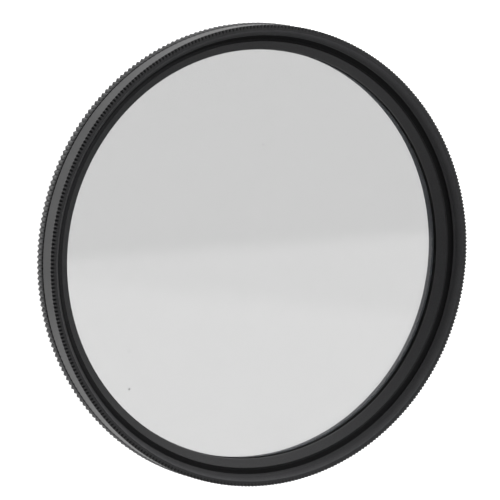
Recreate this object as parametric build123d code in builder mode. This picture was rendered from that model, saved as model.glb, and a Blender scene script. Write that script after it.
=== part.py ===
from build123d import *
import math
import os

os.makedirs("parts", exist_ok=True)

# Screw-in polarising filter for a 77 mm lens thread, lying on the end of its male thread.
# Millimetres, Z up along the optical axis, the thread end at Z = 0, the front rim on top.

# Thread that the whole filter is sized by
thread_major_radius = 38.5
thread_depth = 0.4
thread_length = 2.32
thread_end_chamfer = 0.3
thread_runout_length = 0.32
thread_runout_width = 0.2

# Front ring, from its outside in
ring_overhang = 1.5
band_height = 4.25
edge_chamfer = 0.25
rim_width = 0.9
front_notches = 376
notch_depth = 0.25
notch_length = 0.6
crest_inset = 0.02
lead_in_depth = 1.64
thread_wall_height = 0.81
step_width = 0.98
bevel_width = 1.42
bevel_height = 1.17
lip_height = 0.83
seat_width = 1.0
sleeve_wall = 0.4

# Mount ring with its ridged grip
flange_height = 1.93
mount_ridges = 274
ridge_proud = 0.2
ridge_height = 0.3
ridge_tip_share = 0.45
neck_width = 0.35

# Glass, polarising film and the ring behind them
glass_thickness = 0.85
film_thickness = 0.2
retainer_wall = 0.4
retainer_engagement = 0.5
retainer_flange_height = 1.25
spanner_slot_width = 1.2
spanner_slot_depth = 0.25

# Fits
running_clearance = 0.05
axial_clearance = 0.05
glass_clearance = 0.1
screw_clearance = 0.05
flange_clearance = 0.15

# Radii that follow from these
band_radius = thread_major_radius + ring_overhang
rim_radius = band_radius - rim_width
thread_minor_radius = thread_major_radius - thread_depth
step_radius = thread_minor_radius - step_width
lip_radius = step_radius - bevel_width
seat_radius = lip_radius + seat_width
glass_radius = seat_radius - glass_clearance
sleeve_radius = seat_radius + sleeve_wall
neck_radius = sleeve_radius + running_clearance
mount_bore_radius = neck_radius + neck_width
mount_tip_radius = band_radius + ridge_proud
mount_valley_radius = mount_tip_radius - ridge_height
retainer_radius = seat_radius - screw_clearance
retainer_bore_radius = retainer_radius - retainer_wall
retainer_flange_radius = mount_bore_radius - flange_clearance
notch_crest_radius = band_radius - crest_inset
notch_root_radius = band_radius - notch_depth

# Heights that follow from these
mount_top = thread_length + flange_height
total_height = mount_top + band_height
thread_wall_top = total_height - lead_in_depth
step_height = thread_wall_top - thread_wall_height
lip_top = step_height - bevel_height
glass_top = lip_top - lip_height
film_top = glass_top - glass_thickness
rear_glass_top = film_top - film_thickness
rear_glass_bottom = rear_glass_top - glass_thickness
sleeve_end = rear_glass_bottom - retainer_engagement
retainer_bottom = sleeve_end - retainer_flange_height
neck_bottom = sleeve_end + axial_clearance


def on_circle(radius, turn_deg):
    turn = math.radians(turn_deg)
    return (radius * math.cos(turn), radius * math.sin(turn))


# Mount ring: the male thread's tube and the neck that the front ring turns in
with BuildPart() as rear_mount_ring:
    with BuildSketch(Plane.XZ) as mount_profile:
        with BuildLine():
            Polyline(
                (mount_bore_radius, 0),
                (thread_major_radius - thread_end_chamfer, 0),
                (thread_major_radius, thread_end_chamfer),
                (thread_major_radius, thread_length - thread_runout_length),
                (thread_major_radius + thread_runout_width, thread_length),
                (thread_major_radius + thread_runout_width, mount_top),
                (neck_radius, mount_top),
                (neck_radius, neck_bottom),
                (mount_bore_radius, neck_bottom),
                close=True,
            )
        make_face()
    revolve(axis=Axis.Z)
    # Grip flange with a full row of ridges
    with BuildSketch(Plane.XY.offset(thread_length)) as ridged_outline:
        with BuildLine():
            ridge_pitch_deg = 360 / mount_ridges
            half_tip_deg = ridge_tip_share * ridge_pitch_deg / 2
            outline = []
            for ridge in range(mount_ridges):
                tip_deg = ridge * ridge_pitch_deg
                outline.append(on_circle(mount_valley_radius, tip_deg - ridge_pitch_deg / 2))
                outline.append(on_circle(mount_tip_radius, tip_deg - half_tip_deg))
                outline.append(on_circle(mount_tip_radius, tip_deg + half_tip_deg))
            Polyline(*outline, close=True)
        make_face()
        Circle((neck_radius + thread_major_radius) / 2, mode=Mode.SUBTRACT)
    extrude(amount=flange_height)
rear_mount_ring.part.label = "rear_mount_ring"
export_step(rear_mount_ring.part, "parts/rear_mount_ring.step")

# Front ring: turned body with rim, lead-in, thread wall, step, bevelled lip and sleeve
with BuildPart() as front_ring:
    with BuildSketch(Plane.XZ) as front_profile:
        with BuildLine():
            Polyline(
                (rim_radius, total_height),
                (band_radius, total_height),
                (band_radius, mount_top + edge_chamfer),
                (band_radius - edge_chamfer, mount_top),
                (sleeve_radius, mount_top),
                (sleeve_radius, sleeve_end),
                (seat_radius, sleeve_end),
                (seat_radius, glass_top),
                (lip_radius, glass_top),
                (lip_radius, lip_top),
                (step_radius, step_height),
                (thread_minor_radius, step_height),
                (thread_minor_radius, thread_wall_top),
                close=True,
            )
        make_face()
    revolve(axis=Axis.Z)
    # Fine notches all round the front edge
    with BuildSketch(Plane.XY.offset(total_height - notch_length)) as notched_outline:
        Circle(band_radius + notch_depth)
        with BuildLine():
            notch_pitch_deg = 360 / front_notches
            teeth = []
            for tooth in range(front_notches):
                crest_deg = tooth * notch_pitch_deg
                teeth.append(on_circle(notch_crest_radius, crest_deg))
                teeth.append(on_circle(notch_root_radius, crest_deg + notch_pitch_deg / 2))
            Polyline(*teeth, close=True)
        make_face(mode=Mode.SUBTRACT)
    extrude(amount=notch_length, mode=Mode.SUBTRACT)
front_ring.part.label = "front_ring"
export_step(front_ring.part, "parts/front_ring.step")

# Optical stack, cemented into one disc
with BuildPart() as front_glass:
    with BuildSketch(Plane.XY.offset(film_top)):
        Circle(glass_radius)
    extrude(amount=glass_thickness)
front_glass.part.label = "front_glass"
export_step(front_glass.part, "parts/front_glass.step")

with BuildPart() as polarising_film:
    with BuildSketch(Plane.XY.offset(rear_glass_top)):
        Circle(glass_radius)
    extrude(amount=film_thickness)
polarising_film.part.label = "polarising_film"
export_step(polarising_film.part, "parts/polarising_film.step")

with BuildPart() as rear_glass:
    with BuildSketch(Plane.XY.offset(rear_glass_bottom)):
        Circle(glass_radius)
    extrude(amount=glass_thickness)
rear_glass.part.label = "rear_glass"
export_step(rear_glass.part, "parts/rear_glass.step")

# Retaining ring: screwed into the sleeve behind the glass, its flange under the mount ring's neck
with BuildPart() as retaining_ring:
    with BuildSketch(Plane.XZ) as retainer_profile:
        with BuildLine():
            Polyline(
                (retainer_bore_radius, rear_glass_bottom),
                (retainer_radius, rear_glass_bottom),
                (retainer_radius, sleeve_end),
                (retainer_flange_radius, sleeve_end),
                (retainer_flange_radius, retainer_bottom),
                (retainer_bore_radius, retainer_bottom),
                close=True,
            )
        make_face()
    revolve(axis=Axis.Z)
    # Two spanner slots across its rear side
    with BuildSketch(Plane.XY.offset(retainer_bottom)) as spanner_slots:
        Rectangle(2 * mount_bore_radius, spanner_slot_width)
    extrude(amount=spanner_slot_depth, mode=Mode.SUBTRACT)
retaining_ring.part.label = "retaining_ring"
export_step(retaining_ring.part, "parts/retaining_ring.step")
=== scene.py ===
import math

import bpy
from bpy.props import FloatProperty, FloatVectorProperty, IntProperty, PointerProperty
from mathutils import Matrix, Vector


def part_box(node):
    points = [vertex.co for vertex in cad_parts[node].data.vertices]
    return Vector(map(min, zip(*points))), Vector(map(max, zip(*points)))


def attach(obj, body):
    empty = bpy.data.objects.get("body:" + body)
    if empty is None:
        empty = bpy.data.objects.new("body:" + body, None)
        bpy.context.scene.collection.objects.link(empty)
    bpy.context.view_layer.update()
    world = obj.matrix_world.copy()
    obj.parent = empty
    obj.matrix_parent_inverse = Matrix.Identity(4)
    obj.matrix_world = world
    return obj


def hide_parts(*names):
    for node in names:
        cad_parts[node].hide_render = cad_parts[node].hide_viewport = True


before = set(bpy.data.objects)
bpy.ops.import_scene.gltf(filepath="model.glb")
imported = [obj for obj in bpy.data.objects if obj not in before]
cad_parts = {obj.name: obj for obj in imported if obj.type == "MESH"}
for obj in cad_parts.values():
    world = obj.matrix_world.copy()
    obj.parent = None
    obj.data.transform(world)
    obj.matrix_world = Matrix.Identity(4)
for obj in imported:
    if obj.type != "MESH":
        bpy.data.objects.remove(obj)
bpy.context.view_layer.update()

bl_info = {
    "name": "Screw-in lens filter",
    "version": (1, 0, 0),
    "blender": (4, 5, 0),
    "location": "View3D > Sidebar > Lens filter",
    "description": "Rotating polarising filter with toothed black rings, and its stage",
    "category": "Object",
}

MM = 0.001


def reach(node, axis):
    """Lowest and highest place of a CAD node along an axis, in mm."""
    return [round(corner[axis] / MM, 3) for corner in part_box(node)]


# Heights and radii that the CAD solids give, in mm
SLEEVE_END, FILTER_TOP = reach("front_ring", 2)
MOUNT_TOP = reach("rear_mount_ring", 2)[1]
GLASS_TOP = reach("front_glass", 2)[1]
REAR_GLASS = reach("rear_glass", 2)[0]
RETAINER_BOTTOM = reach("retaining_ring", 2)[0]
RETAINER_FLANGE = reach("retaining_ring", 0)[1]
BAND_RADIUS = reach("front_ring", 0)[1]

# Threads and fits, in mm
THREAD_PITCH = 0.75
THREAD_MAJOR = 38.5
FEMALE_MINOR = 38.1
MALE_MINOR = 38.04
SEAT_RADIUS = 36.7
SLEEVE_RADIUS = 37.1
NECK_RADIUS = 37.15
NECK_END = 1.7
MOUNT_BORE = 37.5
FACE_GAP = 0.02

# Corners of the front ring's profile from its outside in: radius and height in mm
SEAM_FOOT = (39.7, MOUNT_TOP)
SEAM_HEAD = (BAND_RADIUS, 4.7)
NOTCH_START = (BAND_RADIUS, 7.95)
NOTCH_ROOT = (39.66, 8.16)
FRONT_EDGE = (BAND_RADIUS + 0.1, FILTER_TOP)
NOTCH_STOP = (39.4, FILTER_TOP)
RIM_EDGE = (39.1, FILTER_TOP)
FEMALE_START = (THREAD_MAJOR, 7.5)
FEMALE_KNEE = (FEMALE_MINOR, 6.86)
FEMALE_STOP = (FEMALE_MINOR, 6.45)
UNDERCUT_HEAD = (38.55, 6.43)
UNDERCUT_FOOT = (38.55, 5.8)
FLOOR_END = (37.58, 5.8)
SLOPE_START = (37.52, 5.81)
BEVEL_HEAD = (37.12, 6.05)
BEVEL_FOOT = (35.8, 4.963)
LIP_HEAD = (35.7, 4.88)
LIP_FOOT = (35.62, GLASS_TOP + FACE_GAP)

# Where the front ring's finish and its painted light and shade change, in mm: radii and heights just beside
# those corners
OUTSIDE_BEYOND = RIM_EDGE[0] - 0.01
SEAM_BELOW = SEAM_HEAD[1] - 0.05
RIM_ABOVE = FILTER_TOP - 0.1
RIM_WITHIN = BAND_RADIUS - 0.2
STEP_BELOW = FEMALE_STOP[1] + 0.01
STEP_BEYOND = BEVEL_HEAD[0] + 0.04
STEP_EDGE_WITHIN = SLOPE_START[0] + 0.03
LIP_WITHIN = LIP_HEAD[0] + 0.06
LIP_BELOW = LIP_HEAD[1] - 0.03
LEAD_IN_ABOVE = FEMALE_STOP[1] - 0.05

# Corners of the mount ring's profile, radius and height in mm, and where its ridges rise
CHAMFER_FOOT = (38.2, 0)
MALE_START = (THREAD_MAJOR, 0.3)
MALE_STOP = (THREAD_MAJOR, 2.0)
RUNOUT_HEAD = (38.7, 2.32)
GRIP_FOOT = (40.02, 2.32)
RIDGE_FOOT = (BAND_RADIUS + 0.25, 2.5)
RIDGE_HEAD = (BAND_RADIUS + 0.25, 4.1)
GRIP_HEAD = (40.08, MOUNT_TOP)
GRIP_END = (39.99, MOUNT_TOP)
GAP_START = (39.96, MOUNT_TOP)
GAP_WITHIN = 39.97
GAP_ABOVE = MOUNT_TOP - 0.01
RIDGES_FROM = 39.86
RIDGES_FULL_AFTER = 0.3

# Retaining ring, in mm: its bore narrows to a waist, and the spanner slots stop short of it
RETAINER_RADIUS = 36.65
BORE_HEAD = 36.25
BORE_WAIST = (35.85, 1.1)
BORE_FOOT = 36.4
SLOT_FROM = 36.41
SLOT_DEPTH = 0.25

# Edges of the panes and the film, in mm, and the gap that the cement fills
PANE_BEVEL = 0.12
FILM_BEVEL = 0.03
CEMENT_GAP = 0.002
SAME_HEIGHT = 0.01

# Dust on the front face of the glass, in mm: place and radius of each speck
DUST_SPECKS = ((-17.7, -27.3, 0.33), (-3.4, 18.9, 0.19), (-19.4, -21.0, 0.23))

# Finish of a turned face: share of matt, and a painted light level that scales the dyed oxide's colour:
# below 1 it is painted shade (deepest in the seam, at the lip and on the step), above 1 painted light (on
# the grip, the lead-in and the step's edge)
SATIN = (0.0, 1.0)
RIM = (0.8, 0.85)
LEAD_IN = (1.0, 1.75)
THREAD = (1.0, 1.0)
BEVEL = (0.7, 0.85)
STEP = (1.0, 0.42)
STEP_EDGE = (1.0, 1.1)
SEAM = (1.0, 0.15)
GRIP = (0.0, 2.5)
LIP = (1.0, 0.2)

# Oxide layer: sizes of its marks, grain and patches in mm, then how it shines, and how much painted shade
# darkens the cuts
MARK_SPACING = 0.09
MARK_HEIGHT = 0.004
GRAIN_SIZE = 0.12
GRAIN_HEIGHT = 0.006
PATCH_SIZE = 6
OXIDE_IOR = 1.37
SATIN_ROUGHNESS = 0.36
RETAINER_ROUGHNESS = 0.42
ROUGHNESS_SPREAD = 0.03
MATT_ROUGHNESS = 0.7
SATIN_GLOSS = 0.5
MATT_GLOSS = 0.08
SHADE_IN_CUTS = 0.75

# Size of the clouds in the film's dye, in mm, and the range that most of a noise texture lies in
CLOUD_SIZE = 18
NOISE_RANGE = {"From Min": 0.3, "From Max": 0.7}

# Stage in metres: floor, camera, and the directions between which the sky changes
FLOOR_HALF = (3.0, 3.0)
SENSOR_WIDTH_MM = 36.0
CLIP_RANGE = (0.01, 20.0)
FAR_SIDE = (0.3, 0.8)
ABOVE_HORIZON = (0.1, 0.45)

# Soft boxes: name, level, middle of the near edge, turn and tip in degrees, half size, width of soft edge.
# Two hang over the far side, one edge beside the other, so that the glass mirrors both edges.
# Two more stand at the top and bottom of the picture.
CARDS = (
    ("overhead card", 1.03, (0.2247, 0.0024, 0.45), 15.7, 180, (0.2, 0.16), 0.0075),
    ("second overhead card", 0.54, (0.229, -0.0148, 0.44), 6.2, 180, (0.2, 0.16), 0.009),
    ("upper side card", 4.8, (0.15, 0.5, 0.04), 0, 105, (0.5, 0.26), 0.1),
    ("lower side card", 2.2, (0.15, -0.5, 0.04), 180, 105, (0.5, 0.26), 0.1),
)


def linear(code):
    """Turns an sRGB hex colour into the linear values that Blender's sockets take."""
    shares = [int(code[i:i + 2], 16) / 255 for i in (1, 3, 5)]
    return tuple(c / 12.92 if c <= 0.04045 else ((c + 0.055) / 1.055) ** 2.4 for c in shares)


def add_node(tree, kind, settings=None, *inputs, **named):
    """Adds a node with its settings and links.

    Settings are its attributes, or its operation alone. An input takes a value, a socket or a whole node.
    """
    made = tree.nodes.new(kind)
    settings = {"operation": settings} if isinstance(settings, str) else settings or {}
    for key, value in settings.items():
        setattr(made, key, value)
    for key, value in (*enumerate(inputs), *named.items()):
        if isinstance(value, bpy.types.Node):
            value = value.outputs[0]
        if isinstance(value, bpy.types.NodeSocket):
            tree.links.new(value, made.inputs[key])
        else:
            made.inputs[key].default_value = value
    return made


# Settings that a user would change

class RingSettings(bpy.types.PropertyGroup):
    """Teeth, edges and colours of the turned rings"""

    front_notches: IntProperty(
        name="Front notches", description="Notches round the front edge", default=376, min=8)
    mount_ridges: IntProperty(
        name="Mount ridges", description="Grip ridges round the mount ring", default=274, min=8)
    notch_share: FloatProperty(
        name="Notch width", description="Share of the pitch that a notch takes",
        default=0.95, min=0.1, max=1, subtype="FACTOR")
    ridge_height: FloatProperty(
        name="Ridge height", description="Height of a grip ridge",
        default=0.32 * MM, unit="LENGTH", precision=5)
    edge_radius: FloatProperty(
        name="Edge radius", description="Rounding of the turned edges",
        default=0.05 * MM, unit="LENGTH", precision=5)
    black: FloatVectorProperty(
        name="Anodised black", description="Colour of the dyed oxide on both black rings",
        default=linear("#2c2c2d"), subtype="COLOR", size=3, min=0, max=1)
    grey: FloatVectorProperty(
        name="Anodised grey", description="Colour of the retaining ring",
        default=linear("#74787e"), subtype="COLOR", size=3, min=0, max=1)


class GlassSettings(bpy.types.PropertyGroup):
    """Panes and polarising film"""

    film_tint: FloatVectorProperty(
        name="Film grey", description="Light that one side of the film lets through",
        default=linear("#d2d2d2"), subtype="COLOR", size=3, min=0, max=1)
    glass_ior: FloatProperty(
        name="Glass IOR", description="Refractive index of the panes", default=1.52, min=1, max=2)
    segments: IntProperty(
        name="Pane segments", description="Straight edges round a pane", default=1024, min=32)


class StageSettings(bpy.types.PropertyGroup):
    """Camera, floor and light"""

    distance: FloatProperty(
        name="Camera distance", description="From the camera to the middle of the front rim",
        default=0.5, unit="LENGTH")
    tilt: FloatProperty(
        name="Camera tilt", description="Angle between the view and the optical axis",
        default=math.radians(27.261), subtype="ANGLE")
    roll: FloatProperty(
        name="Camera roll", description="Turn of the picture about the view",
        default=math.radians(13.15), subtype="ANGLE")
    focal: FloatProperty(
        name="Focal length", description="Focal length in millimetres", default=208.8, min=1)
    aim_x: FloatProperty(
        name="Aim right", description="Offset of the picture's middle to the right of the filter's",
        default=-2.905 * MM, unit="LENGTH", precision=5)
    aim_y: FloatProperty(
        name="Aim up", description="Offset of the picture's middle above the filter's",
        default=1.284 * MM, unit="LENGTH", precision=5)
    sky: FloatProperty(
        name="Sky level", description="Level of the soft light from above", default=0.3, min=0)
    horizon: FloatProperty(
        name="Horizon level", description="Level of the light low down", default=0.9, min=0)
    far_horizon: FloatProperty(
        name="Far horizon level", description="Level of the light low down beyond the filter",
        default=0.3, min=0)
    card: FloatProperty(
        name="Card level", description="Level of all soft boxes together", default=1.0, min=0)


# Turned profiles

def fillet(corners, radius, steps=2):
    """Rounds corners of a closed profile. Each corner is a point and the share of the radius it gets."""
    rounded = []
    count = len(corners)
    for index, (point, share) in enumerate(corners):
        if not share:
            rounded.append(point)
            continue
        here = Vector(point)
        back = (Vector(corners[index - 1][0]) - here).normalized()
        onward = (Vector(corners[(index + 1) % count][0]) - here).normalized()
        half = back.angle(onward) / 2
        run = share * radius / math.tan(half)
        centre = here + (back + onward).normalized() * (share * radius / math.sin(half))
        start, end = here + back * run - centre, here + onward * run - centre
        sweep = start.angle_signed(end)
        for step in range(steps + 1):
            rounded.append(tuple(centre + Matrix.Rotation(-sweep * step / steps, 2) @ start))
    return rounded


def between(start, end, count):
    """Points that divide the way from start to end, without its ends."""
    return [tuple(Vector(start).lerp(Vector(end), k / (count + 1))) for k in range(1, count + 1)]


def plain_rows(points, finish=lambda radius, height: SATIN):
    """Plain rows of a profile: point, way to the bottom of a tooth cut, share of thread, finish with its
    painted light level.
    """
    return [(point, (0, 0), 0.0, finish(*point)) for point in points]


def thread_rows(points, finish):
    """Rows of a profile that the thread is cut into."""
    return [(point, (0, 0), 1.0, finish) for point in points]


def front_ring_finish_and_painted_light(radius, height):
    """Satin outside, matt on the rim and inside it; painted shade darkens the seam, the step and the lip,
    and painted light brightens the lead-in.
    """
    if radius > OUTSIDE_BEYOND:
        if height < SEAM_BELOW:
            return SEAM
        return RIM if height > RIM_ABOVE and radius < RIM_WITHIN else SATIN
    if height < STEP_BELOW and radius > STEP_BEYOND:
        return STEP_EDGE if radius <= STEP_EDGE_WITHIN else STEP
    if radius < LIP_WITHIN:
        return LIP if height < LIP_BELOW else SATIN
    return LEAD_IN if height > LEAD_IN_ABOVE else BEVEL


def notch_rows(corner):
    """Rows of the notched front edge, whose cuts run to a curve from the band to the rim."""
    zone = [NOTCH_START, *between(NOTCH_START, corner[0], 2), *corner, *between(corner[-1], NOTCH_STOP, 2)]
    zone.append(NOTCH_STOP)
    way = [0.0]
    for point, following in zip(zone, zone[1:]):
        way.append(way[-1] + math.dist(point, following))
    start, root, stop = Vector(NOTCH_START), Vector(NOTCH_ROOT), Vector(NOTCH_STOP)
    rows = []
    for point, done in zip(zone, way):
        share = done / way[-1]
        bottom = start.lerp(root, share).lerp(root.lerp(stop, share), share)
        rows.append((point, tuple(bottom - Vector(point)), 0.0, front_ring_finish_and_painted_light(*point)))
    return rows


def front_ring_profile(edge):
    """Profile of the front ring, anticlockwise, with fine notches over its front edge."""
    points = fillet([
        ((SLEEVE_RADIUS, MOUNT_TOP), 0), (SEAM_FOOT, 0.5), (SEAM_HEAD, 1), (NOTCH_START, 0), (FRONT_EDGE, 3),
        (NOTCH_STOP, 0), (RIM_EDGE, 1.5), (FEMALE_START, 0), (FEMALE_KNEE, 0), (FEMALE_STOP, 0),
        (UNDERCUT_HEAD, 0), (UNDERCUT_FOOT, 0), (FLOOR_END, 0), (SLOPE_START, 0), (BEVEL_HEAD, 0.5),
        (BEVEL_FOOT, 0), (LIP_HEAD, 2), (LIP_FOOT, 0), ((SEAT_RADIUS, LIP_FOOT[1]), 0),
        ((SEAT_RADIUS, SLEEVE_END), 0), ((SLEEVE_RADIUS, SLEEVE_END), 0),
    ], edge)
    notch_from, notch_to = points.index(NOTCH_START), points.index(NOTCH_STOP)
    thread_from, thread_to = points.index(FEMALE_START), points.index(FEMALE_STOP)
    threaded = [FEMALE_START, *between(FEMALE_START, FEMALE_KNEE, 4), FEMALE_KNEE,
                *between(FEMALE_KNEE, FEMALE_STOP, 3), FEMALE_STOP]
    return [
        *plain_rows(points[:notch_from], front_ring_finish_and_painted_light),
        *notch_rows(points[notch_from + 1:notch_to]),
        *plain_rows(points[notch_to + 1:thread_from], front_ring_finish_and_painted_light),
        *thread_rows(threaded, THREAD),
        *plain_rows(points[thread_to + 1:], front_ring_finish_and_painted_light),
    ]


def mount_ring_profile(edge, ridge_height):
    """Profile of the mount ring, anticlockwise, with ridges that are bevelled at both ends."""
    points = fillet([
        ((MOUNT_BORE, 0), 0), (CHAMFER_FOOT, 0), (MALE_START, 0), (MALE_STOP, 0), (RUNOUT_HEAD, 0),
        (GRIP_FOOT, 0), (RIDGE_FOOT, 1), (RIDGE_HEAD, 1), (GRIP_HEAD, 0.5), (GRIP_END, 0), (GAP_START, 0),
        ((NECK_RADIUS, MOUNT_TOP), 0), ((NECK_RADIUS, NECK_END), 0), ((MOUNT_BORE, NECK_END), 0),
    ], edge)
    thread_from, thread_to = points.index(MALE_START), points.index(MALE_STOP)
    threaded = [MALE_START, *between(MALE_START, MALE_STOP, 13), MALE_STOP]
    rows = plain_rows(points[:thread_from]) + thread_rows(threaded, SATIN)
    for radius, height in points[thread_to + 1:]:
        rise = min(max((radius - RIDGES_FROM) / RIDGES_FULL_AFTER, 0), 1)
        # Painted shade on the top face in the gap under the front ring, painted light on the grip and the
        # rest
        finish = SEAM if height > GAP_ABOVE and radius < GAP_WITHIN else GRIP
        rows.append(((radius, height), (-ridge_height * rise, 0), 0.0, finish))
    return rows


def retainer_profile():
    """Profile of the retaining ring, anticlockwise, with a waisted bore and spanner slots at the rear."""
    slot = (0, SLOT_DEPTH)
    top = REAR_GLASS - FACE_GAP
    return [
        *plain_rows([(BORE_HEAD, top), BORE_WAIST, (BORE_FOOT, RETAINER_BOTTOM)]),
        ((SLOT_FROM, RETAINER_BOTTOM), slot, 0.0, SATIN),
        ((RETAINER_FLANGE, RETAINER_BOTTOM), slot, 0.0, SATIN),
        *plain_rows([(RETAINER_FLANGE, SLEEVE_END), (RETAINER_RADIUS, SLEEVE_END), (RETAINER_RADIUS, top)]),
    ]


# Geometry nodes: a lathe that also cuts teeth and a thread

def lathe_tree():
    """Node tree that turns a profile about Z and cuts teeth, along each point's own way, and a thread."""
    name = "lathe with teeth and thread"
    if name in bpy.data.node_groups:
        return bpy.data.node_groups[name]
    tree = bpy.data.node_groups.new(name, "GeometryNodeTree")
    face = tree.interface
    face.new_socket("Profile", in_out="INPUT", socket_type="NodeSocketGeometry")
    for label, kind, value in (
        ("Teeth", "NodeSocketInt", 1), ("Steps per tooth", "NodeSocketInt", 256),
        ("Cut share", "NodeSocketFloat", 1.0), ("Cut rise", "NodeSocketFloat", 1.0),
        ("Cut power", "NodeSocketFloat", 1.0), ("Full cut", "NodeSocketFloat", 0.3 * MM),
        ("Thread radius", "NodeSocketFloat", 0.0), ("Thread depth", "NodeSocketFloat", 0.0),
        ("Thread pitch", "NodeSocketFloat", THREAD_PITCH * MM),
        ("Smooth angle", "NodeSocketFloat", math.radians(30)),
    ):
        face.new_socket(label, in_out="INPUT", socket_type=kind).default_value = value
    face.new_socket("Finish", in_out="INPUT", socket_type="NodeSocketMaterial")
    face.new_socket("Turned", in_out="OUTPUT", socket_type="NodeSocketGeometry")
    asked = add_node(tree, "NodeGroupInput").outputs
    maths = "ShaderNodeMath"

    # A grid with one column for each step round the ring and one row for each profile point, the first twice
    count = add_node(tree, "GeometryNodeAttributeDomainSize", None, asked["Profile"])
    around = add_node(tree, maths, "MULTIPLY", asked["Teeth"], asked["Steps per tooth"])
    grid = add_node(tree, "GeometryNodeMeshGrid", None, 1.0, 1.0, add_node(tree, maths, "ADD", around, 1.0),
                    add_node(tree, maths, "ADD", count, 1.0))
    place = add_node(tree, "ShaderNodeSeparateXYZ", None, add_node(tree, "GeometryNodeInputPosition"))
    turn = add_node(tree, maths, "ADD", place.outputs["X"], 0.5)
    up = add_node(tree, maths, "ADD", place.outputs["Y"], 0.5)
    row = add_node(tree, maths, "ROUND", add_node(tree, maths, "MULTIPLY", up, count))
    row = add_node(tree, maths, "FLOORED_MODULO", row, count)

    # What the profile point of each row says
    said = {}
    for label, kind in (
        ("position", "FLOAT_VECTOR"), ("cut", "FLOAT_VECTOR"),
        ("thread", "FLOAT"), ("matt", "FLOAT"), ("tone", "FLOAT"),
    ):
        source = add_node(tree, "GeometryNodeInputNamedAttribute", {"data_type": kind}, label)
        said[label] = add_node(tree, "GeometryNodeSampleIndex", {"data_type": kind, "domain": "POINT"},
                               Geometry=asked["Profile"], Value=source, Index=row)
    point = add_node(tree, "ShaderNodeSeparateXYZ", None, said["position"]).outputs
    cut = add_node(tree, "ShaderNodeSeparateXYZ", None, said["cut"]).outputs

    # Depth of the tooth cut: 1 in the middle of the cut, 0 on the land; a shallow end is narrower too
    steps = add_node(tree, maths, "ROUND", add_node(tree, maths, "MULTIPLY", turn, around))
    phase = add_node(tree, maths, "DIVIDE", steps, asked["Steps per tooth"])
    phase = add_node(tree, maths, "ADD", phase, 0.5)
    off = add_node(tree, maths, "SUBTRACT", add_node(tree, maths, "FRACT", phase), 0.5)
    whole = add_node(tree, "ShaderNodeVectorMath", "LENGTH", said["cut"]).outputs["Value"]
    whole = add_node(tree, maths, "MINIMUM", add_node(tree, maths, "DIVIDE", whole, asked["Full cut"]), 1.0)
    half = add_node(tree, maths, "MULTIPLY", asked["Cut share"], whole)
    half = add_node(tree, maths, "MULTIPLY", half, 0.5)
    across = add_node(tree, maths, "DIVIDE", add_node(tree, maths, "ABSOLUTE", off), half)
    across = add_node(tree, maths, "MINIMUM", across, 1.0)
    across = add_node(tree, maths, "POWER", across, asked["Cut rise"])
    depth = add_node(tree, maths, "SUBTRACT", 1.0, across)
    depth = add_node(tree, maths, "POWER", depth, asked["Cut power"])
    radius = add_node(tree, maths, "MULTIPLY_ADD", depth, cut["X"], point["X"])
    height = add_node(tree, maths, "MULTIPLY_ADD", depth, cut["Z"], point["Z"])
    # Painted shade mask: how deep a point lies in a tooth cut, which the material darkens
    hollow = add_node(tree, maths, "MULTIPLY", depth, whole)

    # Thread: a V wave along a right-handed helix, which only takes metal away
    lead = add_node(tree, maths, "DIVIDE", height, asked["Thread pitch"])
    lead = add_node(tree, maths, "SUBTRACT", lead, turn)
    wave = add_node(tree, maths, "MULTIPLY_ADD", add_node(tree, maths, "FRACT", lead), 2.0, -1.0)
    wave = add_node(tree, maths, "SUBTRACT", 1.0, add_node(tree, maths, "ABSOLUTE", wave))
    wall = add_node(tree, maths, "MULTIPLY_ADD", wave, asked["Thread depth"], asked["Thread radius"])
    side = add_node(tree, maths, "SIGN", asked["Thread depth"])
    take = add_node(tree, maths, "MULTIPLY", side, add_node(tree, maths, "SUBTRACT", wall, radius))
    take = add_node(tree, maths, "MULTIPLY", side, add_node(tree, maths, "MAXIMUM", take, 0.0))
    radius = add_node(tree, maths, "MULTIPLY_ADD", take, said["thread"], radius)

    # Wrap the grid round the axis, close it and mark the sharp edges
    angle = add_node(tree, maths, "MULTIPLY", turn, 2 * math.pi)
    right = add_node(tree, maths, "MULTIPLY", radius, add_node(tree, maths, "COSINE", angle))
    away = add_node(tree, maths, "MULTIPLY", radius, add_node(tree, maths, "SINE", angle))
    turned = add_node(tree, "ShaderNodeCombineXYZ", None, right, away, height)
    # Store the matt share, the painted light level and the painted shade mask of the cuts on the points
    noted = grid
    for label, value in (("matt", said["matt"]), ("tone", said["tone"]), ("hollow", hollow)):
        noted = add_node(tree, "GeometryNodeStoreNamedAttribute", {"data_type": "FLOAT", "domain": "POINT"},
                         Geometry=noted, Name=label, Value=value)
    shaped = add_node(tree, "GeometryNodeSetPosition", None, Geometry=noted, Position=turned)
    closed = add_node(tree, "GeometryNodeMergeByDistance", None, Geometry=shaped, Distance=1e-7)
    crease = add_node(tree, "FunctionNodeCompare", "GREATER_THAN",
                      A=add_node(tree, "GeometryNodeInputMeshEdgeAngle"), B=asked["Smooth angle"])
    smooth = add_node(tree, "GeometryNodeSetShadeSmooth", {"domain": "EDGE"},
                      Geometry=closed, Selection=crease, **{"Shade Smooth": False})
    real = add_node(tree, "GeometryNodeRealizeInstances", None, smooth)
    done = add_node(tree, "GeometryNodeSetMaterial", None, Geometry=real, Material=asked["Finish"])
    add_node(tree, "NodeGroupOutput", None, Turned=done)
    return tree


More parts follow.
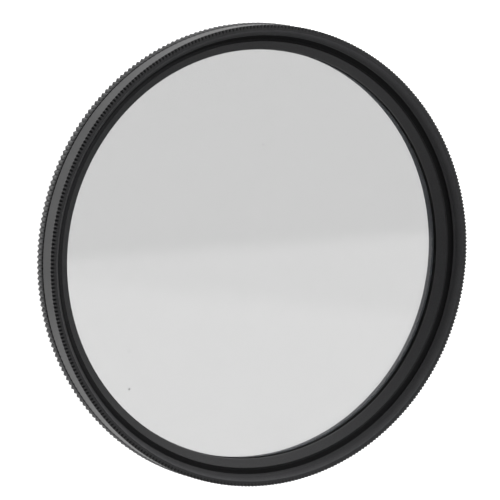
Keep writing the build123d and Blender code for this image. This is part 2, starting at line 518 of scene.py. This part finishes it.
def turn_piece(name, rows, finish, **asked):
    """Runs the lathe on a profile in mm and returns the finished piece as a plain mesh at the origin."""
    points, ways, threads, finishes = zip(*rows)
    # A finish is a matt share and a painted light level, which lightens or shades the colour
    matts, painted_light_levels = zip(*finishes)
    count = len(rows)
    profile = bpy.data.meshes.new(name + "_profile")
    profile.from_pydata([(radius * MM, 0, height * MM) for radius, height in points],
                        [(k, (k + 1) % count) for k in range(count)], [])
    cuts = [part for inward, upward in ways for part in (inward * MM, 0, upward * MM)]
    profile.attributes.new("cut", "FLOAT_VECTOR", "POINT").data.foreach_set("vector", cuts)
    for label, values in (("thread", threads), ("matt", matts), ("tone", painted_light_levels)):
        profile.attributes.new(label, "FLOAT", "POINT").data.foreach_set("value", values)
    holder = bpy.data.objects.new(name + "_holder", profile)
    bpy.context.scene.collection.objects.link(holder)
    lathe = holder.modifiers.new("lathe", "NODES")
    lathe.node_group = lathe_tree()
    asked["Finish"] = finish
    for item in lathe.node_group.interface.items_tree:
        if item.in_out == "INPUT" and item.name in asked:
            lathe[item.identifier] = asked[item.name]
    bpy.context.view_layer.update()
    graph = bpy.context.evaluated_depsgraph_get()
    mesh = bpy.data.meshes.new_from_object(holder.evaluated_get(graph))
    bpy.data.objects.remove(holder)
    bpy.data.meshes.remove(profile)
    if not mesh.polygons:
        raise RuntimeError(f"the lathe gave no faces for {name}")
    if mesh.materials[0] is None:
        mesh.materials.pop(index=0)
    mesh.name = name
    piece = bpy.data.objects.new(name, mesh)
    bpy.context.scene.collection.objects.link(piece)
    return piece


def place_piece(piece, node, body):
    """Puts a finished piece in its CAD node's place: the node is hidden and the piece moves with that node's
    body.
    """
    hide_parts(node)
    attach(piece, body)


# Materials

def new_material(name):
    """A new material with its node tree and the shader that stands in it."""
    made = bpy.data.materials.new(name)
    made.use_nodes = True
    return made, made.node_tree, made.node_tree.nodes["Principled BSDF"]


def anodised_aluminium(name, dye, roughness, shade_in_cuts):
    """Turned aluminium with a dyed oxide layer.

    The oxide is a clear hard skin over the dye: dark when seen square on, pale towards a grazing view, with
    the fine concentric marks of the lathe under a silky grain. Where it is left matt, most of the gloss is
    gone. Deep in the cuts, painted shade darkens its colour and gloss, and each face's painted light level
    makes its colour lighter or darker.
    """
    made, tree, shader = new_material(name)
    where = add_node(tree, "ShaderNodeTexCoord").outputs["Object"]
    axes = add_node(tree, "ShaderNodeSeparateXYZ", None, where).outputs
    flat = add_node(tree, "ShaderNodeCombineXYZ", None, axes["X"], axes["Y"])
    radius = add_node(tree, "ShaderNodeVectorMath", "LENGTH", flat).outputs["Value"]
    section = add_node(tree, "ShaderNodeCombineXYZ", None, radius, axes["Z"])
    matt = add_node(tree, "ShaderNodeAttribute", {"attribute_name": "matt"}).outputs["Fac"]
    # Painted light level of each face: below 1 painted shade, above 1 painted light
    tone = add_node(tree, "ShaderNodeAttribute", {"attribute_name": "tone"}).outputs["Fac"]
    hollow = add_node(tree, "ShaderNodeAttribute", {"attribute_name": "hollow"}).outputs["Fac"]
    # Painted shade in the cuts: colour and gloss drop with the depth of the cut
    painted_shade_factor = add_node(tree, "ShaderNodeMath", "MULTIPLY_ADD", hollow, -shade_in_cuts, 1.0)

    # Lathe marks, grain and patches
    marks = add_node(tree, "ShaderNodeTexNoise", {"noise_dimensions": "2D"},
                     Vector=section, Scale=1 / (MARK_SPACING * MM), Detail=2.0)
    grain = add_node(tree, "ShaderNodeTexNoise", None, Vector=where, Scale=1 / (GRAIN_SIZE * MM), Detail=3.0)
    patches = add_node(tree, "ShaderNodeTexNoise", None,
                       Vector=where, Scale=1 / (PATCH_SIZE * MM), Detail=2.0)
    silky = add_node(tree, "ShaderNodeMapRange", None, patches, **NOISE_RANGE,
                     **{"To Min": roughness - ROUGHNESS_SPREAD, "To Max": roughness + ROUGHNESS_SPREAD})
    rough = add_node(tree, "ShaderNodeMix", None, matt, A=silky, B=MATT_ROUGHNESS)
    gloss = add_node(tree, "ShaderNodeMapRange", None, matt, **{"To Min": SATIN_GLOSS, "To Max": MATT_GLOSS})
    gloss = add_node(tree, "ShaderNodeMath", "MULTIPLY", painted_shade_factor, gloss)
    shade = add_node(tree, "ShaderNodeMapRange", None, grain, **NOISE_RANGE,
                     **{"To Min": 0.75, "To Max": 1.25})
    # The dye's colour: painted shade of the cuts times the painted light level times a random grain
    pale = add_node(tree, "ShaderNodeMath", "MULTIPLY", painted_shade_factor, tone)
    pale = add_node(tree, "ShaderNodeMath", "MULTIPLY", shade, pale)
    colour = add_node(tree, "ShaderNodeVectorMath", "SCALE", dye, Scale=pale)
    fine = add_node(tree, "ShaderNodeBump", None, Height=marks, Strength=0.25, Distance=MARK_HEIGHT * MM)
    bump = add_node(tree, "ShaderNodeBump", None, Height=grain, Normal=fine, Strength=0.35,
                    Distance=GRAIN_HEIGHT * MM)
    for socket, source in (
        ("Roughness", rough), ("Specular IOR Level", gloss), ("Base Color", colour), ("Normal", bump),
    ):
        tree.links.new(source.outputs[0], shader.inputs[socket])
    shader.inputs["IOR"].default_value = OXIDE_IOR
    return made


def optical_glass(name, ior):
    """Polished optical glass: clear, with a mirror gloss and three soft specks of dust on the front face."""
    made, tree, shader = new_material(name)
    where = add_node(tree, "ShaderNodeTexCoord").outputs["Object"]
    clean = 1.0
    for x, y, size in DUST_SPECKS:
        speck = (x * MM, y * MM, GLASS_TOP * MM)
        far = add_node(tree, "ShaderNodeVectorMath", "DISTANCE", where, speck).outputs["Value"]
        share = add_node(tree, "ShaderNodeMath", "DIVIDE", far, size * MM)
        clean = add_node(tree, "ShaderNodeMath", "MINIMUM", clean, share)
    # The colour sockets of a mix come after those for numbers and vectors
    dust, clear, mixed = 6, 7, 2
    tone = add_node(tree, "ShaderNodeMix", {"data_type": "RGBA"}, clean)
    tone.inputs[dust].default_value = (*linear("#63605e"), 1)
    tone.inputs[clear].default_value = (*linear("#fefefe"), 1)
    tree.links.new(tone.outputs[mixed], shader.inputs["Base Color"])
    shader.inputs["Roughness"].default_value = 0.0
    shader.inputs["Transmission Weight"].default_value = 1.0
    shader.inputs["IOR"].default_value = ior
    return made


def optical_cement(name):
    """Clear cement on the film: the joint between film and pane can't be seen."""
    made, _, shader = new_material(name)
    shader.inputs["Alpha"].default_value = 0.0
    return made


def dyed_film(name, tint):
    """Stretched polarising film with a neutral grey dye, seen as the grey of the filter."""
    made, tree, shader = new_material(name)
    where = add_node(tree, "ShaderNodeTexCoord").outputs["Object"]
    cloud = add_node(tree, "ShaderNodeTexNoise", None, Vector=where, Scale=1 / (CLOUD_SIZE * MM), Detail=2.0)
    shade = add_node(tree, "ShaderNodeMapRange", None, cloud, **NOISE_RANGE,
                     **{"To Min": 0.997, "To Max": 1.003})
    tone = add_node(tree, "ShaderNodeVectorMath", "SCALE", tint, Scale=shade)
    tree.links.new(tone.outputs[0], shader.inputs["Base Color"])
    shader.inputs["Transmission Weight"].default_value = 1.0
    shader.inputs["Roughness"].default_value = 0.0
    shader.inputs["IOR"].default_value = 1.0
    return made


def white_paper(name):
    """White paper sweep: pure white to the eye and in reflections, with the filter's soft shadow on it."""
    made, tree, _ = new_material(name)
    tree.nodes.clear()
    path = add_node(tree, "ShaderNodeLightPath").outputs
    paper = add_node(tree, "ShaderNodeBsdfDiffuse", None, (0.8, 0.8, 0.8, 1))
    lift = add_node(tree, "ShaderNodeEmission", None, Strength=0.8)
    white = add_node(tree, "ShaderNodeEmission", None, Strength=1.0)
    seen = add_node(tree, "ShaderNodeAddShader", None, paper, lift)
    seen = add_node(tree, "ShaderNodeMixShader", None, path["Is Camera Ray"], paper, seen)
    mirrored = add_node(tree, "ShaderNodeMath", "MAXIMUM",
                        path["Is Glossy Ray"], path["Is Transmission Ray"])
    sheet = add_node(tree, "ShaderNodeMixShader", None, mirrored, seen, white)
    add_node(tree, "ShaderNodeOutputMaterial", None, sheet)
    return made


def lit_card(name, level, half, soft):
    """Cloth front of a soft box: even light that fades towards its edges, the near edge by its own width."""
    made, tree, _ = new_material(name)
    tree.nodes.clear()
    where = add_node(tree, "ShaderNodeTexCoord").outputs["Object"]
    axes = add_node(tree, "ShaderNodeSeparateXYZ", None, where).outputs
    sideways = add_node(tree, "ShaderNodeMath", "ABSOLUTE", axes["X"])
    wide, long = half
    glow = level
    for place, dark, bright in (
        (sideways, wide, wide * 0.7), (axes["Y"], long, long * 0.6), (axes["Y"], -long, soft - long),
    ):
        edge = add_node(tree, "ShaderNodeMapRange", {"interpolation_type": "SMOOTHSTEP"}, place,
                        **{"From Min": dark, "From Max": bright})
        glow = add_node(tree, "ShaderNodeMath", "MULTIPLY", glow, edge)
    light = add_node(tree, "ShaderNodeEmission", None, Strength=glow)
    cloth = add_node(tree, "ShaderNodeAddShader", None, add_node(tree, "ShaderNodeBsdfTransparent"), light)
    add_node(tree, "ShaderNodeOutputMaterial", None, cloth)
    return made


# Operators

class FILTER_OT_front_ring(bpy.types.Operator):
    """Turns the front ring: notched edge, lead-in, female thread, step, bevel and sleeve"""

    bl_idname = "lens_filter.front_ring"
    bl_label = "Front ring"

    def execute(self, context):
        rings = context.scene.filter_rings
        finish = anodised_aluminium(
            "anodised aluminium, front ring", rings.black, SATIN_ROUGHNESS, SHADE_IN_CUTS)
        piece = turn_piece(
            "front_ring_turned", front_ring_profile(rings.edge_radius / MM), finish,
            **{"Teeth": rings.front_notches, "Steps per tooth": 6, "Cut share": rings.notch_share,
               "Cut rise": 1.3, "Cut power": 1.0, "Full cut": 0.42 * MM, "Thread radius": FEMALE_MINOR * MM,
               "Thread depth": (THREAD_MAJOR - FEMALE_MINOR) * MM})
        place_piece(piece, "front_ring", "turning_front")
        return {"FINISHED"}


class FILTER_OT_mount_ring(bpy.types.Operator):
    """Turns the mount ring: male thread, shoulder and ridged grip"""

    bl_idname = "lens_filter.mount_ring"
    bl_label = "Mount ring"

    def execute(self, context):
        rings = context.scene.filter_rings
        finish = anodised_aluminium(
            "anodised aluminium, mount ring", rings.black, SATIN_ROUGHNESS, SHADE_IN_CUTS)
        profile = mount_ring_profile(rings.edge_radius / MM, rings.ridge_height / MM)
        piece = turn_piece(
            "mount_ring_turned", profile, finish,
            **{"Teeth": rings.mount_ridges, "Steps per tooth": 8, "Cut share": 1.0, "Cut rise": 1.0,
               "Cut power": 1.1, "Thread radius": THREAD_MAJOR * MM,
               "Thread depth": (MALE_MINOR - THREAD_MAJOR) * MM})
        place_piece(piece, "rear_mount_ring", "lens_side")
        return {"FINISHED"}


class FILTER_OT_glass(bpy.types.Operator):
    """Makes the two cemented panes and the polarising film between them"""

    bl_idname = "lens_filter.glass"
    bl_label = "Glass and film"

    def execute(self, context):
        stack = context.scene.filter_glass
        clear = optical_glass("optical glass, polished", stack.glass_ior)
        cement = optical_cement("optical cement, clear")
        grey = dyed_film("polarising film, dyed grey", stack.film_tint)
        for name, node, slot, finish in (
            ("front_pane", "front_glass", "front_glass_clear", clear),
            ("polarising_foil", "polarising_film", "film_grey", grey),
            ("rear_pane", "rear_glass", "rear_glass_clear", clear),
        ):
            low, high = (corner.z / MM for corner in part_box(node))
            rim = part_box(node)[1].x / MM
            gap, bevel = (0, PANE_BEVEL) if finish is clear else (CEMENT_GAP, FILM_BEVEL)
            corners = [(0, low + gap), (rim - bevel, low + gap), (rim, low + bevel),
                       (rim, high - bevel), (rim - bevel, high - gap), (0, high - gap)]
            piece = turn_piece(name, plain_rows(corners), finish, **{"Steps per tooth": stack.segments})
            if finish is clear:
                inner = low if name == "front_pane" else high
                piece.data.materials.append(cement)
                for polygon in piece.data.polygons:
                    if abs(polygon.center.z / MM - inner) < SAME_HEIGHT:
                        polygon.material_index = len(piece.data.materials) - 1
            place_piece(piece, node, "turning_front")
        return {"FINISHED"}


class FILTER_OT_retainer(bpy.types.Operator):
    """Turns the retaining ring behind the glass, with its two spanner slots"""

    bl_idname = "lens_filter.retainer"
    bl_label = "Retaining ring"

    def execute(self, context):
        rings = context.scene.filter_rings
        finish = anodised_aluminium(
            "anodised aluminium, retaining ring", rings.grey, RETAINER_ROUGHNESS, 0.0)
        piece = turn_piece(
            "retaining_ring_turned", retainer_profile(), finish,
            **{"Teeth": 2, "Steps per tooth": 330, "Cut share": 0.012, "Cut rise": 20.0,
               "Full cut": 0.1 * MM})
        place_piece(piece, "retaining_ring", "turning_front")
        return {"FINISHED"}


class FILTER_OT_stage(bpy.types.Operator):
    """Sets up the pale floor, soft light and camera"""

    bl_idname = "lens_filter.stage"
    bl_label = "Stage"

    def execute(self, context):
        scene, settings = context.scene, context.scene.filter_stage
        scene.view_settings.view_transform = "Standard"
        self.flat_object(scene, "floor", FLOOR_HALF, white_paper("white paper"))
        self.sky(scene, settings)
        self.cards(scene, settings)
        self.camera(scene, settings)
        return {"FINISHED"}

    def flat_object(self, scene, name, half, finish):
        """A flat sheet that belongs to the stage."""
        x, y = half
        mesh = bpy.data.meshes.new(name)
        mesh.from_pydata([(-x, -y, 0), (x, -y, 0), (x, y, 0), (-x, y, 0)], [], [(0, 1, 2, 3)])
        mesh.materials.append(finish)
        made = bpy.data.objects.new(name, mesh)
        scene.collection.objects.link(made)
        return made

    def sky(self, scene, settings):
        """Soft light from all round, weaker on the far side, before a white backdrop."""
        world = bpy.data.worlds.new("soft sky")
        scene.world = world
        world.use_nodes = True
        tree = world.node_tree
        tree.nodes.clear()
        path = add_node(tree, "ShaderNodeLightPath").outputs
        axes = add_node(tree, "ShaderNodeSeparateXYZ", None, add_node(tree, "ShaderNodeTexCoord")).outputs
        low = add_node(tree, "ShaderNodeMapRange", None, axes["X"], *FAR_SIDE,
                       **{"To Min": settings.horizon, "To Max": settings.far_horizon})
        level = add_node(tree, "ShaderNodeMapRange", {"interpolation_type": "SMOOTHSTEP"}, axes["Z"],
                         *ABOVE_HORIZON, **{"To Min": low, "To Max": settings.sky})
        light = add_node(tree, "ShaderNodeBackground", None, (1, 1, 1, 1), level)
        white = add_node(tree, "ShaderNodeBackground", None, (1, 1, 1, 1), 1.0)
        add_node(tree, "ShaderNodeOutputWorld", None,
                 add_node(tree, "ShaderNodeMixShader", None, path["Is Camera Ray"], light, white))

    def cards(self, scene, settings):
        """Soft boxes, which only light and reflections see."""
        for name, level, near, turn, tip, half, soft in CARDS:
            cloth = lit_card("soft box cloth, " + name, level * settings.card, half, soft)
            card = self.flat_object(scene, name, half, cloth)
            spin = Matrix.Rotation(math.radians(turn), 4, "Z") @ Matrix.Rotation(math.radians(tip), 4, "X")
            lift = Matrix.Translation((0, half[1] - soft / 2, 0))
            card.matrix_world = Matrix.Translation(near) @ spin @ lift
            card.visible_camera = False

    def camera(self, scene, settings):
        """Camera that sees the filter tilted and rolled as in the photo."""
        sin_tilt, cos_tilt = math.sin(settings.tilt), math.cos(settings.tilt)
        sin_roll, cos_roll = math.sin(settings.roll), math.cos(settings.roll)
        # The filter's axes as the camera sees them: right, down, away
        axis_z = Vector((sin_tilt * cos_roll, sin_tilt * sin_roll, -cos_tilt))
        axis_x = Vector((cos_tilt * cos_roll, cos_tilt * sin_roll, sin_tilt))
        axis_y = axis_z.cross(axis_x)
        right, down, away = (Vector(parts) for parts in zip(axis_x, axis_y, axis_z))
        middle = Vector((0, 0, FILTER_TOP * MM))
        eye = middle - away * settings.distance
        aim = middle + right * settings.aim_x - down * settings.aim_y
        back = (eye - aim).normalized()
        level = (right - back * right.dot(back)).normalized()
        up = back.cross(level)
        data = bpy.data.cameras.new("camera")
        data.lens, data.sensor_width = settings.focal, SENSOR_WIDTH_MM
        data.clip_start, data.clip_end = CLIP_RANGE
        camera = bpy.data.objects.new("camera", data)
        turn = Matrix((level, up, back)).transposed().to_4x4()
        camera.matrix_world = Matrix.Translation(eye) @ turn
        scene.collection.objects.link(camera)
        scene.camera = camera


class FILTER_PT_panel(bpy.types.Panel):
    """Lists the filter's pieces and settings"""

    bl_label = "Lens filter"
    bl_idname = "FILTER_PT_panel"
    bl_space_type = "VIEW_3D"
    bl_region_type = "UI"
    bl_category = "Lens filter"

    def draw(self, context):
        for made in STEPS:
            self.layout.operator(made.bl_idname)
        for group in (context.scene.filter_rings, context.scene.filter_glass, context.scene.filter_stage):
            for key in group.__annotations__:
                self.layout.prop(group, key)


STEPS = (FILTER_OT_front_ring, FILTER_OT_mount_ring, FILTER_OT_glass, FILTER_OT_retainer, FILTER_OT_stage)
CLASSES = (RingSettings, GlassSettings, StageSettings, *STEPS, FILTER_PT_panel)


def register():
    for made in CLASSES:
        bpy.utils.register_class(made)
    bpy.types.Scene.filter_rings = PointerProperty(type=RingSettings)
    bpy.types.Scene.filter_glass = PointerProperty(type=GlassSettings)
    bpy.types.Scene.filter_stage = PointerProperty(type=StageSettings)


def unregister():
    del bpy.types.Scene.filter_stage
    del bpy.types.Scene.filter_glass
    del bpy.types.Scene.filter_rings
    for made in reversed(CLASSES):
        bpy.utils.unregister_class(made)


def main():
    register()
    bpy.ops.lens_filter.front_ring()
    bpy.ops.lens_filter.mount_ring()
    bpy.ops.lens_filter.glass()
    bpy.ops.lens_filter.retainer()
    bpy.ops.lens_filter.stage()


if __name__ == "__main__":
    main()
